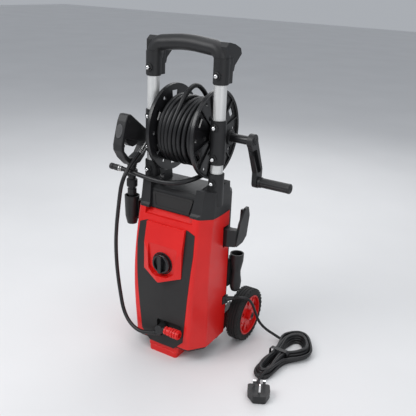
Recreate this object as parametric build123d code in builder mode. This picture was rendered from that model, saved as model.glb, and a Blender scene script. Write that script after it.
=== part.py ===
from build123d import *
import os
from math import pi, radians, tan

# Upright electric pressure washer with a hose reel, trigger gun, two wheels and mains lead.
#
# X is the width (the crank is on +X), -Y is the front, Z is up and the floor is z = 0.
# The model is drawn about its mid-plane and the tubes' plane, and save() moves it to the
# centre of its footprint.

# ---- driving dimensions, mm ----
ORIGIN_X = 44.0
ORIGIN_Y = 39.5

TUBE_X = 87.5
TUBE_OD = 28.0
TUBE_WALL = 1.5
TUBE_BOTTOM = 392.0
TUBE_TOP = 706.0

BODY_BOTTOM = 38.0
BODY_REAR = 46.0
REAR_DEPTH = 80.0
SHELL_WALL = 3.0

WHEEL_Y = 110.0
WHEEL_R = 69.0
WHEEL_IN = 110.0
WHEEL_OUT = 144.0
RIM_R = 52.5
AXLE_R = 6.0

REEL_Y = 38.7
REEL_Z = 543.7
FLANGE_R = 101.6
FLANGE_X = 55.5
DRUM_R = 58.0
COIL_R = 83.0
HOSE_D = 11.0
LEAD_D = 9.5
CORD_D = 7.0

CRANK_X = 150.0
CRANK_DROP = 102.0
CRANK_BACK = 34.6
CRANK_GRIP_LENGTH = 78.0

SLEEVE_R = 17.5
BUTTON_R = 4.6
BUTTON_HEIGHTS = {"body": 447.3, "reel_low": 503.5, "reel_high": 573.0, "handle": 683.0}

GUN_X = -130.5
GUN_THICK = 26.0
BARREL_Y = -25.0
BARREL_R = 10.0

PORT_X = 4.0
PORT_Y = -89.0
PORT_Z = 80.0

KNOB_Z = 250.5
KNOB_Y = -77.0

os.makedirs("parts", exist_ok=True)


def save(part, name):
    """Moves a finished piece to the part's frame, labels it and writes its STEP file."""
    placed = part.moved(Location((-ORIGIN_X, -ORIGIN_Y, 0)))
    placed.label = name
    export_step(placed, f"parts/{name}.step")


# ---- the body's outer skin ----
# Each section is height, side half-width, where the side starts to turn, front corner, front.
BODY_SECTIONS = (
    (30.0, 103.0, -36.0, (74.0, -76.0), -78.0),
    (120.0, 104.0, -40.0, (80.0, -78.0), -80.0),
    (210.0, 104.0, -42.0, (83.0, -78.0), -80.0),
    (300.0, 103.0, -36.0, (83.0, -69.0), -71.0),
    (440.0, 99.0, -18.0, (80.0, -48.0), -50.0),
)


def body_skin(grow, bottom, top):
    """The casing's outer form grown by an amount, between two heights."""
    with BuildPart() as skin:
        for height, half, turn, corner, front in BODY_SECTIONS:
            with BuildSketch(Plane.XY.offset(height)):
                with BuildLine():
                    right = (
                        (half + grow, BODY_REAR),
                        (half + grow, turn),
                        (corner[0] + 0.6 * grow, corner[1] - grow),
                    )
                    left = [(-x, y) for x, y in reversed(right)]
                    Polyline(*right, (0, front - grow), *left, close=True)
                make_face()
                bends = vertices().filter_by_position(Axis.Y, -200, BODY_REAR - 1)
                fillet(bends, 12)
        loft()
        with BuildSketch(Plane.XY.offset(bottom)):
            Rectangle(400, 400)
        extrude(amount=top - bottom, mode=Mode.INTERSECT)
    return skin.part


def parting_block(reach):
    """Everything above the line where the dark top cover meets the casing."""
    with BuildPart() as above:
        with BuildSketch(Plane.YZ.offset(-reach)):
            with BuildLine():
                ThreePointArc((-130, 384), (-20, 367), (BODY_REAR + 60, 378))
                Line((BODY_REAR + 60, 378), (BODY_REAR + 60, 520))
                Line((BODY_REAR + 60, 520), (-130, 520))
                Line((-130, 520), (-130, 384))
            make_face()
        extrude(amount=2 * reach)
    return above.part


def across(points, x_from, x_to):
    """A prism along X with an outline in Y and Z."""
    with BuildPart() as prism:
        with BuildSketch(Plane.YZ.offset(x_from)):
            with BuildLine():
                Polyline(*points, close=True)
            make_face()
        extrude(amount=x_to - x_from)
    return prism.part


def frontal(points, y_from, y_to):
    """A prism along Y with an outline in X and Z."""
    with BuildPart() as prism:
        with BuildSketch(Plane.XZ.offset(-y_from)):
            with BuildLine():
                Polyline(*points, close=True)
            make_face()
        extrude(amount=y_from - y_to)
    return prism.part


# ---- front cover: the red casing ----
# The front roof runs from the front edge up to the badge plate.
ROOF_CUT = ((-90, 349), (-56, 357), (-42, 368), (-42, 400), (-90, 400))
PANEL_OUTLINE = (
    (0, 27), (34, 28), (60, 55), (66, 120), (73, 204), (78, 285), (76, 333), (57, 341),
    (-57, 341), (-76, 333), (-78, 285), (-73, 204), (-66, 120), (-60, 55), (-34, 28),
)

with BuildPart() as front_cover:
    add(body_skin(0, BODY_BOTTOM, 392))
    add(body_skin(-SHELL_WALL - 1, BODY_BOTTOM - 5, 344), mode=Mode.SUBTRACT)
    with BuildSketch(Plane.XY.offset(330)):
        with Locations((0, 6)):
            Rectangle(166, 100)
    extrude(amount=80, mode=Mode.SUBTRACT)
    add(parting_block(150), mode=Mode.SUBTRACT)
    add(across(ROOF_CUT, -64.5, 64.5), mode=Mode.SUBTRACT)
    with BuildSketch(Plane.XZ.offset(120)):
        with BuildLine():
            Polyline(*PANEL_OUTLINE, close=True)
        make_face()
        offset(amount=0.4)
    extrude(amount=-100, mode=Mode.SUBTRACT)
    add(frontal(((-52, 346), (52, 346), (52, 200), (-52, 200)), -62, -40), mode=Mode.SUBTRACT)
    for side in (-1, 1):
        with Locations((side * 104, 34, 307)):
            Box(14, 30, 52, mode=Mode.SUBTRACT)
    with Locations((104, 39, 134)):
        Box(14, 20, 24, mode=Mode.SUBTRACT)
save(front_cover.part, "front_cover")

# ---- front panel: the dark inlay let into the casing ----
with BuildPart() as front_panel:
    add(body_skin(0.6, 20, 346))
    add(body_skin(-2.4, 10, 350), mode=Mode.SUBTRACT)
    with BuildSketch(Plane.XZ.offset(120)):
        with BuildLine():
            Polyline(*PANEL_OUTLINE, close=True)
        make_face()
        fillet(vertices(), 3)
    extrude(amount=-80, mode=Mode.INTERSECT)
    add(frontal(((-53, 360), (53, 360), (53, 225), (0, 206.6), (-53, 225)), -130, -40), mode=Mode.SUBTRACT)
    with BuildSketch(Plane.XZ.offset(79)):
        with Locations((22, 82)):
            RectangleRounded(76, 40, 8)
    extrude(amount=-13)
    with BuildSketch(Plane.XZ.offset(100)):
        with Locations((22, 82)):
            RectangleRounded(71, 35, 6)
    extrude(amount=-31.5, mode=Mode.SUBTRACT)
    with Locations((PORT_X, -70, PORT_Z)):
        Cylinder(9.4, 30, rotation=(90, 0, 0), mode=Mode.SUBTRACT)
save(front_panel.part, "front_panel")

# ---- front fascia: the red centre with its prow and the switch recess ----
with BuildPart() as front_fascia:
    with BuildSketch(Plane.XY.offset(205)):
        with BuildLine():
            Polyline((-52.4, -56), (-52.4, -80), (0, -98), (52.4, -80), (52.4, -56), close=True)
        make_face()
        fillet(vertices().group_by(Axis.Y)[0], 20)
    extrude(amount=136)
    add(across(((-110, 150), (-98, 205), (-66, 360), (-110, 360)), -60, 60), mode=Mode.SUBTRACT)
    add(frontal(((-60, 190), (60, 190), (60, 227.5), (0, 207.5), (-60, 227.5)), -130, -40),
        mode=Mode.SUBTRACT)
    with BuildSketch(Plane.XZ.offset(120)):
        with BuildLine():
            Polyline((-40, 294), (40, 294), (36, 232), (20, 222), (-20, 222), (-36, 232), close=True)
        make_face()
        fillet(vertices(), 5)
    extrude(amount=-(120 + KNOB_Y - 2), mode=Mode.SUBTRACT)
    with Locations((0, -60, KNOB_Z)):
        Cylinder(8.2, 60, rotation=(90, 0, 0), mode=Mode.SUBTRACT)
    add(across(((-62, 150), (-60, 300), (-56, 360), (-30, 360), (-30, 150)), -60, 60), mode=Mode.SUBTRACT)
save(front_fascia.part, "front_fascia")

# ---- switch: box behind the fascia and the turning knob ----
with BuildPart() as switch_box:
    with Locations((0, -50, KNOB_Z)):
        Box(46, 18, 46)
    fillet(edges().filter_by(Axis.Y), 4)
    with Locations((0, -52, KNOB_Z)):
        Cylinder(4.55, 40, rotation=(90, 0, 0), mode=Mode.SUBTRACT)
save(switch_box.part, "switch_box")

with BuildPart() as switch_knob:
    with BuildSketch(Plane.XZ.offset(-KNOB_Y + 2.6)):
        with Locations((0, KNOB_Z)):
            Circle(23.5)
    extrude(amount=9)
    fillet(faces().sort_by(Axis.Y)[0].edges(), 3)
    with BuildSketch(Plane.XZ.offset(-KNOB_Y + 6)):
        with Locations((0, KNOB_Z)):
            Circle(18.5)
            Rectangle(9, 38, mode=Mode.SUBTRACT)
    extrude(amount=8, mode=Mode.SUBTRACT)
    with BuildSketch(Plane.XZ.offset(-KNOB_Y + 4)):
        with Locations((0, KNOB_Z)):
            RectangleRounded(9, 42, 3)
    extrude(amount=12)
    with Locations((0, -68, KNOB_Z)):
        Cylinder(4.5, 30, rotation=(90, 0, 0))
save(switch_knob.part, "switch_knob")

# ---- rear cover ----
REAR_SCREWS = [(side * 70, height) for side in (-1, 1) for height in (70, 168, 360, 396)]
with BuildPart() as rear_cover:
    with BuildSketch(Plane.XY.offset(BODY_BOTTOM)):
        with BuildLine():
            Polyline(
                (99, BODY_REAR + 0.4), (99, 58), (86, REAR_DEPTH), (-86, REAR_DEPTH),
                (-99, 58), (-99, BODY_REAR + 0.4), close=True,
            )
        make_face()
        fillet(vertices().group_by(Axis.Y)[-1], 14)
    extrude(amount=378)
    fillet(faces().sort_by(Axis.Z)[-1].edges().sort_by(Axis.Y)[-1], 8)
    with BuildSketch(Plane.XY.offset(BODY_BOTTOM + 4)):
        with BuildLine():
            Polyline(
                (96, BODY_REAR), (96, 57), (84, REAR_DEPTH - 3), (-84, REAR_DEPTH - 3),
                (-96, 57), (-96, BODY_REAR), close=True,
            )
        make_face()
    extrude(amount=370, mode=Mode.SUBTRACT)
    with BuildSketch(Plane.XZ.offset(-REAR_DEPTH - 5)):
        with GridLocations(0, 16, 1, 9):
            with Locations((0, 250)):
                SlotOverall(96, 7)
    extrude(amount=20, mode=Mode.SUBTRACT)
    for side in (-1, 1):
        with Locations((side * 104, 54, 68)):
            Box(42, 60, 63, mode=Mode.SUBTRACT)
    with BuildSketch(Plane.XZ.offset(-REAR_DEPTH - 5)):
        with Locations(*REAR_SCREWS):
            Circle(2)
    extrude(amount=20, mode=Mode.SUBTRACT)
save(rear_cover.part, "rear_cover")

with BuildPart() as cover_screws:
    with BuildSketch(Plane.XZ.offset(-REAR_DEPTH - 2)):
        with Locations(*REAR_SCREWS):
            Circle(4)
            Rectangle(5, 1, mode=Mode.SUBTRACT)
            Rectangle(1, 5, mode=Mode.SUBTRACT)
    extrude(amount=2)
    with BuildSketch(Plane.XZ.offset(-REAR_DEPTH)):
        with Locations(*REAR_SCREWS):
            Circle(1.8)
    extrude(amount=10)
save(cover_screws.part, "cover_screws")

# ---- base tray with the two axle arms ----
with BuildPart() as base_tray:
    with BuildSketch(Plane.XY.offset(30)):
        with BuildLine():
            Polyline(
                (97, 44), (97, -34), (72, -70), (-72, -70), (-97, -34), (-97, 44), close=True,
            )
        make_face()
        fillet(vertices().group_by(Axis.Y)[0], 10)
    extrude(amount=26)
    with BuildSketch(Plane.XY.offset(34)):
        with BuildLine():
            Polyline((94, 44), (94, -32), (70, -67), (-70, -67), (-94, -32), (-94, 44), close=True)
        make_face()
    extrude(amount=30, mode=Mode.SUBTRACT)
    with Locations((0, 60, 34)):
        Box(164, 33, 8)
    for side in (-1, 1):
        with BuildSketch(Plane.YZ.offset(side * 91 - 8)):
            with BuildLine():
                Polyline(
                    (20, 30), (98, 48), (124, 58), (126, 80), (108, 90), (40, 84), (20, 56),
                    close=True,
                )
            make_face()
            fillet(vertices().group_by(Axis.Y)[-1], 6)
            with Locations((WHEEL_Y, WHEEL_R)):
                Circle(AXLE_R + 0.05, mode=Mode.SUBTRACT)
        extrude(amount=16)
    with Locations((0, 0, 40)):
        Cylinder(40, 12)
save(base_tray.part, "base_tray")

# ---- front foot ----
with BuildPart() as front_foot:
    with BuildSketch(Plane.XY):
        with Locations((0, -40)):
            RectangleRounded(80, 66, 7)
    extrude(amount=15)
    fillet(faces().sort_by(Axis.Z)[-1].edges(), 2.5)
    with BuildSketch(Plane.XY.offset(13)):
        with Locations((0, -38)):
            RectangleRounded(88, 66, 7)
    extrude(amount=16.8)
    fillet(faces().sort_by(Axis.Z)[-1].edges(), 2)
    with BuildSketch(Plane.XY.offset(-1)):
        with Locations((0, -40)):
            RectangleRounded(66, 50, 5)
    extrude(amount=5, mode=Mode.SUBTRACT)
save(front_foot.part, "front_foot")

# ---- top cover: two towers, the deck, the badge wall and the tube sockets ----
BADGE_WALL = (
    (-47, 370), (-38, 412), (-30, 418), (46, 418), (46, 414), (-28, 414), (-34, 409),
    (-40, 372), (-40, 350), (-43.6, 350), (-43.6, 370),
)
TOWER_TOP = (
    (-60, 372), (-52, 380), (-41, 433), (-20, 428), (6, 432), (26, 441), (38, 446),
    (60, 444), (60, 300), (-60, 300),
)
with BuildPart() as top_cover:
    add(body_skin(-0.4, 340, 446))
    add(parting_block(150), mode=Mode.INTERSECT)
    add(across(TOWER_TOP, -120, 120), mode=Mode.INTERSECT)
    with BuildSketch(Plane.XZ.offset(70)):
        with BuildLine():
            Polyline((-54, 350), (54, 350), (64, 450), (-64, 450), close=True)
        make_face()
    extrude(amount=-120, mode=Mode.SUBTRACT)
    add(across(BADGE_WALL, -64, 64))
    for side in (-1, 1):
        with BuildSketch(Plane.XY.offset(340)):
            with Locations((side * 80, 8)):
                Rectangle(30, 70)
        extrude(amount=84, mode=Mode.SUBTRACT)
        with Locations((side * TUBE_X, 0, 430)):
            Cylinder(SLEEVE_R + 0.5, 74)
        with Locations((side * TUBE_X, 0, 430)):
            Cylinder(TUBE_OD / 2 + 0.1, 80, mode=Mode.SUBTRACT)
        with Locations((side * TUBE_X, -14, BUTTON_HEIGHTS["body"])):
            Cylinder(9, 12, rotation=(90, 0, 0))
            Cylinder(BUTTON_R + 0.6, 20, rotation=(90, 0, 0), mode=Mode.SUBTRACT)
        with Locations((side * TUBE_X, 0, 430)):
            Cylinder(TUBE_OD / 2 + 0.1, 80, mode=Mode.SUBTRACT)
    with Locations((-48, -16, 430)):
        Box(8, 14, 26)
    with Locations((-48, -22, 440)):
        Cylinder(6.2, 12, rotation=(0, 90, 0), mode=Mode.SUBTRACT)
    add(across(((-60, 300), (-60, 366), (BODY_REAR - 2, 366), (BODY_REAR - 2, 300)), -92, 92),
        mode=Mode.SUBTRACT)
save(top_cover.part, "top_cover")

# ---- badge plate, blank ----
PLATE_PLANE = Plane(origin=(0, -43.5, 389), x_dir=(1, 0, 0), z_dir=(0, -1, 0.2))
with BuildPart() as top_plate:
    with BuildSketch(PLATE_PLANE):
        with BuildLine():
            Polyline((-48, -18), (48, -18), (56, 18), (-56, 18), close=True)
        make_face()
        fillet(vertices(), 4)
    extrude(amount=3)
    with BuildSketch(PLATE_PLANE.offset(2)):
        with BuildLine():
            Polyline((-42, -13), (42, -13), (49, 13), (-49, 13), close=True)
        make_face()
        fillet(vertices(), 3)
    extrude(amount=3, mode=Mode.SUBTRACT)
save(top_plate.part, "top_plate")

# ---- frame tubes ----
for name, side in (("tube_left", -1), ("tube_right", 1)):
    with BuildPart() as tube:
        with BuildSketch(Plane.XY.offset(TUBE_BOTTOM)):
            with Locations((side * TUBE_X, 0)):
                Circle(TUBE_OD / 2)
                Circle(TUBE_OD / 2 - TUBE_WALL, mode=Mode.SUBTRACT)
        extrude(amount=TUBE_TOP - TUBE_BOTTOM)
        for height in BUTTON_HEIGHTS.values():
            with Locations((side * TUBE_X, -10, height)):
                Cylinder(BUTTON_R + 0.05, 16, rotation=(90, 0, 0), mode=Mode.SUBTRACT)
    save(tube.part, name)

# ---- snap buttons: a dome on a plug that slides in the tube's hole ----
for side_name, side in (("left", -1), ("right", 1)):
    for level, height in BUTTON_HEIGHTS.items():
        with BuildPart() as button:
            with BuildSketch(Plane.XZ.offset(10.5)):
                with Locations((side * TUBE_X, height)):
                    Circle(BUTTON_R)
            extrude(amount=16.5)
            fillet(faces().sort_by(Axis.Y)[0].edges(), 3.4)
            with BuildSketch(Plane.XZ.offset(5.5)):
                with Locations((side * TUBE_X, height)):
                    Circle(BUTTON_R + 1.6)
            extrude(amount=5)
        save(button.part, f"snap_button_{level}_{side_name}")

# ---- handle: sleeves, elbows and the arched grip ----
HANDLE_Y = 4.0
SHOULDER_OUTLINE = (
    (4, 690), (28, 690), (32, 702), (60, 724), (55, 736), (30, 746), (4, 751), (-8, 742), (-8, 705),
)
with BuildPart() as handle_grip:
    with BuildLine() as arch:
        FilletPolyline(
            (-TUBE_X, HANDLE_Y, 704), (-TUBE_X + 4, HANDLE_Y, 735.2), (0, HANDLE_Y, 744.7),
            (TUBE_X - 4, HANDLE_Y, 735.2), (TUBE_X, HANDLE_Y, 704), radius=[24, 300, 24],
        )
    with BuildSketch(Plane(origin=arch.line @ 0, x_dir=(0, 1, 0), z_dir=arch.line % 0)):
        Ellipse(19.5, 17.2)
    sweep()
    for side in (-1, 1):
        with BuildSketch(Plane.XY.offset(666)):
            with Locations((side * TUBE_X, 0)):
                Circle(SLEEVE_R)
            with Locations((side * TUBE_X, 12)):
                RectangleRounded(2 * SLEEVE_R - 4, 32, 8)
        extrude(amount=52)
        with BuildSketch(Plane.YZ.offset(side * TUBE_X - 14)):
            with BuildLine():
                Polyline(*SHOULDER_OUTLINE, close=True)
            make_face()
            fillet(vertices().group_by(Axis.Y)[-2:], 4)
        extrude(amount=28)
        with BuildSketch(Plane.XY.offset(660)):
            with Locations((side * TUBE_X, 0)):
                Circle(TUBE_OD / 2 + 0.1)
        extrude(amount=TUBE_TOP - 660 + 0.5, mode=Mode.SUBTRACT)
        with Locations((side * TUBE_X, -14, BUTTON_HEIGHTS["handle"])):
            Cylinder(9, 11, rotation=(90, 0, 0))
            Cylinder(BUTTON_R + 0.6, 20, rotation=(90, 0, 0), mode=Mode.SUBTRACT)
        with BuildSketch(Plane.XY.offset(660)):
            with Locations((side * TUBE_X, 0)):
                Circle(TUBE_OD / 2 + 0.1)
        extrude(amount=TUBE_TOP - 660 + 0.5, mode=Mode.SUBTRACT)
save(handle_grip.part, "handle_grip")

# ---- reel brackets ----
BEARING_R = 10.0
for name, side in (("reel_bracket_left", -1), ("reel_bracket_right", 1)):
    with BuildPart() as bracket:
        with BuildSketch(Plane.XY.offset(491)):
            with Locations((side * TUBE_X, 0)):
                Circle(SLEEVE_R)
        extrude(amount=95)
        with BuildSketch(Plane.YZ.offset(side * (TUBE_X + 0.5) - 7)):
            with BuildLine():
                Polyline((8, 580), (8, 496), (24, 512), (56, 534), (56, 554), (28, 572), close=True)
            make_face()
            with Locations((REEL_Y, REEL_Z)):
                Circle(18)
        extrude(amount=14)
        with BuildSketch(Plane.YZ.offset(side * 84 - 16)):
            with Locations((REEL_Y, REEL_Z)):
                Circle(16.5)
        extrude(amount=32)
        with Locations((side * 84, REEL_Y, REEL_Z)):
            Cylinder(BEARING_R + 0.06, 80, rotation=(0, 90, 0), mode=Mode.SUBTRACT)
        for level in ("reel_low", "reel_high"):
            with Locations((side * TUBE_X, -14, BUTTON_HEIGHTS[level])):
                Cylinder(9, 11, rotation=(90, 0, 0))
                Cylinder(BUTTON_R + 0.6, 20, rotation=(90, 0, 0), mode=Mode.SUBTRACT)
        with BuildSketch(Plane.XY.offset(480)):
            with Locations((side * TUBE_X, 0)):
                Circle(TUBE_OD / 2 + 0.1)
        extrude(amount=120, mode=Mode.SUBTRACT)
    save(bracket.part, name)

# ---- wheels: tyre, spoked rim and the axle they turn on ----
WHEEL_MID = (WHEEL_IN + WHEEL_OUT) / 2
for side_name, side in (("left", -1), ("right", 1)):
    with BuildPart() as tyre:
        with BuildSketch(Plane.YZ.offset(side * WHEEL_IN)):
            with Locations((WHEEL_Y, WHEEL_R)):
                Circle(WHEEL_R)
                Circle(RIM_R, mode=Mode.SUBTRACT)
        extrude(amount=side * (WHEEL_OUT - WHEEL_IN))
        outer_edges = edges().filter_by(GeomType.CIRCLE).group_by(SortBy.RADIUS)[-1]
        fillet(outer_edges, 7)
        for groove_x in (WHEEL_MID - 7, WHEEL_MID, WHEEL_MID + 7):
            with BuildSketch(Plane.YZ.offset(side * groove_x - 1)):
                with Locations((WHEEL_Y, WHEEL_R)):
                    Circle(WHEEL_R + 1)
                    Circle(WHEEL_R - 1.6, mode=Mode.SUBTRACT)
            extrude(amount=2, mode=Mode.SUBTRACT)
    save(tyre.part, f"tyre_{side_name}")

    with BuildPart() as rim:
        with BuildSketch(Plane.YZ.offset(side * (WHEEL_IN + 1))):
            with Locations((WHEEL_Y, WHEEL_R)):
                Circle(RIM_R - 0.02)
                Circle(RIM_R - 4, mode=Mode.SUBTRACT)
        extrude(amount=side * (WHEEL_OUT - WHEEL_IN - 2))
        with BuildSketch(Plane.YZ.offset(side * (WHEEL_OUT - 14))):
            with Locations((WHEEL_Y, WHEEL_R)):
                Circle(RIM_R - 2)
                with PolarLocations(32.5, 5, start_angle=90):
                    Trapezoid(21, 26, 72, rotation=90, mode=Mode.SUBTRACT)
                with PolarLocations(39, 5, start_angle=54):
                    Trapezoid(11, 15, 78, rotation=90, mode=Mode.SUBTRACT)
        extrude(amount=side * 7)
        with BuildSketch(Plane.YZ.offset(side * (WHEEL_IN - 2))):
            with Locations((WHEEL_Y, WHEEL_R)):
                Circle(13)
        extrude(amount=side * (WHEEL_OUT - WHEEL_IN + 5))
        with BuildSketch(Plane.YZ.offset(side * (WHEEL_OUT - 4))):
            with Locations((WHEEL_Y, WHEEL_R)):
                Circle(9.5)
        extrude(amount=side * 10)
        hub_end = edges().filter_by(GeomType.CIRCLE).sort_by(Axis.X)[-1 if side > 0 else 0]
        fillet(hub_end, 2.5)
        with Locations((side * (WHEEL_IN + 17), WHEEL_Y, WHEEL_R)):
            Cylinder(AXLE_R + 0.07, 40, rotation=(0, 90, 0), mode=Mode.SUBTRACT)
    save(rim.part, f"wheel_rim_{side_name}")

with BuildPart() as wheel_axle:
    with Locations((0, WHEEL_Y, WHEEL_R)):
        Cylinder(AXLE_R, 2 * (WHEEL_OUT + 2), rotation=(0, 90, 0))
    chamfer(edges().filter_by(GeomType.CIRCLE), 0.8)
save(wheel_axle.part, "wheel_axle")

# ---- hose reel: two flanges with their axles, drum and the wound hose ----
for side_name, side in (("left", -1), ("right", 1)):
    with BuildPart() as flange:
        with BuildSketch(Plane.YZ.offset(side * (FLANGE_X - 2))):
            with Locations((REEL_Y, REEL_Z)):
                Circle(FLANGE_R)
                with PolarLocations(79, 6, start_angle=90):
                    Trapezoid(24, 15, 82, rotation=90, mode=Mode.SUBTRACT)
                with PolarLocations(84, 6, start_angle=60):
                    Circle(4.5, mode=Mode.SUBTRACT)
        extrude(amount=side * 3.5)
        with BuildSketch(Plane.YZ.offset(side * (FLANGE_X - 2))):
            with Locations((REEL_Y, REEL_Z)):
                Circle(FLANGE_R)
                Circle(FLANGE_R - 6, mode=Mode.SUBTRACT)
        extrude(amount=side * 7.5)
        with BuildSketch(Plane.YZ.offset(side * (FLANGE_X + 1))):
            with Locations((REEL_Y, REEL_Z)):
                with PolarLocations(60, 12, start_angle=15):
                    Rectangle(76, 2.6)
        extrude(amount=side * 4)
        with BuildSketch(Plane.YZ.offset(side * (FLANGE_X - 2))):
            with Locations((REEL_Y, REEL_Z)):
                Circle(26)
        extrude(amount=side * 12.5)
        with Locations((side * FLANGE_X, REEL_Y, REEL_Z)):
            Cylinder(BEARING_R, 60, rotation=(0, 90, 0), mode=Mode.SUBTRACT)
    save(flange.part, f"reel_flange_{side_name}")

with BuildPart() as reel_drum:
    with Locations((0, REEL_Y, REEL_Z)):
        Cylinder(DRUM_R, 2 * (FLANGE_X - 2), rotation=(0, 90, 0))
        Cylinder(DRUM_R - 3, 2 * FLANGE_X, rotation=(0, 90, 0), mode=Mode.SUBTRACT)
    with Locations((0, REEL_Y, REEL_Z)):
        Cylinder(DRUM_R - 2, 3, rotation=(0, 90, 0))
        Cylinder(BEARING_R, 10, rotation=(0, 90, 0), mode=Mode.SUBTRACT)
save(reel_drum.part, "reel_drum")

AXLE_LEFT = -103.0
AXLE_RIGHT = CRANK_X - 4
with BuildPart() as reel_axle:
    with BuildSketch(Plane.YZ.offset(AXLE_LEFT)):
        with Locations((REEL_Y, REEL_Z)):
            Circle(BEARING_R)
            Circle(BEARING_R - 4, mode=Mode.SUBTRACT)
    extrude(amount=AXLE_RIGHT - AXLE_LEFT)
save(reel_axle.part, "reel_axle")

with BuildPart() as hose_coil:
    with Locations((0, REEL_Y, REEL_Z)):
        Cylinder(COIL_R, 2 * (FLANGE_X - 3), rotation=(0, 90, 0))
        Cylinder(DRUM_R + 0.1, 2 * FLANGE_X, rotation=(0, 90, 0), mode=Mode.SUBTRACT)
    fillet(edges().filter_by(GeomType.CIRCLE).group_by(SortBy.RADIUS)[-1], 5)
save(hose_coil.part, "hose_coil")

# ---- crank ----
CRANK_END = (REEL_Y + CRANK_BACK, REEL_Z - CRANK_DROP)
with BuildPart() as crank_arm:
    with BuildSketch(Plane.YZ.offset(CRANK_X - 4)):
        with BuildLine():
            Polyline(
                (REEL_Y - 16, REEL_Z), (CRANK_END[0] - 14, CRANK_END[1] + 24),
                (CRANK_END[0] - 14, CRANK_END[1]), (CRANK_END[0] + 14, CRANK_END[1]),
                (CRANK_END[0] + 14, CRANK_END[1] + 30), (REEL_Y + 16, REEL_Z), close=True,
            )
        make_face()
        with Locations((REEL_Y, REEL_Z)):
            Circle(16.5)
        with Locations(CRANK_END):
            Circle(14)
    extrude(amount=12)
    with BuildSketch(Plane.YZ.offset(CRANK_X - 1)):
        with BuildLine():
            Polyline(
                (REEL_Y - 8, REEL_Z - 20), (CRANK_END[0] - 8.5, CRANK_END[1] + 24),
                (CRANK_END[0] + 8.5, CRANK_END[1] + 24), (REEL_Y + 12, REEL_Z - 20), close=True,
            )
        make_face()
        fillet(vertices(), 3)
    extrude(amount=12, mode=Mode.SUBTRACT)
    with Locations((CRANK_X + 6 + CRANK_GRIP_LENGTH / 2, *CRANK_END)):
        Cylinder(4, CRANK_GRIP_LENGTH, rotation=(0, 90, 0))
save(crank_arm.part, "crank_arm")

FLUTES = 12
with BuildPart() as crank_grip:
    with BuildSketch(Plane.YZ.offset(CRANK_X + 9)):
        with Locations(CRANK_END):
            Circle(12.5)
    extrude(amount=6)
    with BuildSketch(Plane.YZ.offset(CRANK_X + 15)):
        with Locations(CRANK_END):
            Circle(11.2)
            with PolarLocations(12.4, FLUTES):
                Circle(1.9, mode=Mode.SUBTRACT)
    extrude(amount=CRANK_GRIP_LENGTH - 12)
    with BuildSketch(Plane.YZ.offset(CRANK_X + 3 + CRANK_GRIP_LENGTH)):
        with Locations(CRANK_END):
            Circle(11.6)
    extrude(amount=7)
    fillet(faces().sort_by(Axis.X)[-1].edges(), 3)
    with BuildSketch(Plane.YZ.offset(CRANK_X + 5)):
        with Locations(CRANK_END):
            Circle(4.08)
    extrude(amount=CRANK_GRIP_LENGTH + 2, mode=Mode.SUBTRACT)
save(crank_grip.part, "crank_grip")

# ---- motor and pump, upright inside the casing ----
MOTOR_Y = 14.0
with BuildPart() as motor_housing:
    with Locations((0, MOTOR_Y, 246)):
        Cylinder(48, 150)
        Cylinder(44, 140, mode=Mode.SUBTRACT)
        Cylinder(6.06, 160, mode=Mode.SUBTRACT)
    with Locations((0, MOTOR_Y, 246)):
        with PolarLocations(48, 16):
            Box(5, 2, 120)
save(motor_housing.part, "motor_housing")

with BuildPart() as rotor_shaft:
    with Locations((0, MOTOR_Y, 252)):
        Cylinder(6, 170)
    with Locations((0, MOTOR_Y, 246)):
        Cylinder(27, 80)
save(rotor_shaft.part, "rotor_shaft")

with BuildPart() as cooling_fan:
    with Locations((0, MOTOR_Y, 329)):
        Cylinder(12, 12)
        Cylinder(40, 2)
    with Locations((0, MOTOR_Y, 333)):
        with PolarLocations(25, 9):
            Box(30, 2, 10)
    with Locations((0, MOTOR_Y, 329)):
        Cylinder(6.0, 30, mode=Mode.SUBTRACT)
save(cooling_fan.part, "cooling_fan")

with BuildPart() as pump_crankcase:
    with Locations((0, MOTOR_Y, 139.5)):
        Cylinder(42, 62)
        Cylinder(37, 52, mode=Mode.SUBTRACT)
    with Locations((0, MOTOR_Y, 160)):
        Cylinder(6.06, 30, mode=Mode.SUBTRACT)
    for corner in ((30, 30), (-30, 30), (-30, -30), (30, -30)):
        with Locations((corner[0], corner[1] + MOTOR_Y, 139.5)):
            Cylinder(6, 62)
save(pump_crankcase.part, "pump_crankcase")

with BuildPart() as pump_head:
    with Locations((0, MOTOR_Y, 77)):
        Box(64, 56, 62)
        fillet(edges().filter_by(Axis.Z), 8)
    with BuildSketch(Plane.XY.offset(108.2)):
        with Locations((0, MOTOR_Y)):
            with PolarLocations(18, 3):
                Circle(6)
    extrude(amount=-30, mode=Mode.SUBTRACT)
    with Locations((PORT_X, MOTOR_Y - 24, PORT_Z)):
        Cylinder(9.05, 14, rotation=(90, 0, 0), mode=Mode.SUBTRACT)
save(pump_head.part, "pump_head")

# ---- water ports at the front ----
LEAD_END = Vector(-14.5, -90.0, 63.0)
LEAD_LAST_BEND = Vector(-42, -94, 55)
LEAD_IN = (LEAD_END - LEAD_LAST_BEND).normalized()
with BuildPart() as port_manifold:
    with Locations((PORT_X, -46, PORT_Z)):
        Cylinder(9, 76, rotation=(90, 0, 0))
    with Locations((PORT_X, PORT_Y + 1, PORT_Z)):
        Cylinder(11.5, 18, rotation=(90, 0, 0))
    fillet(faces().sort_by(Axis.Y)[0].edges(), 2)
    with BuildSketch(Plane.YZ.offset(PORT_X)):
        with Locations((PORT_Y, PORT_Z + 1)):
            Circle(7.5)
    extrude(amount=14)
    for start, length, radius in ((0, 5, 6.4), (5, 2, 5.6), (7, 5, 6.4), (12, 9, 7)):
        with BuildSketch(Plane(origin=LEAD_END + LEAD_IN * start, z_dir=LEAD_IN)):
            Circle(radius)
        extrude(amount=length)
save(port_manifold.part, "port_manifold")

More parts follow.
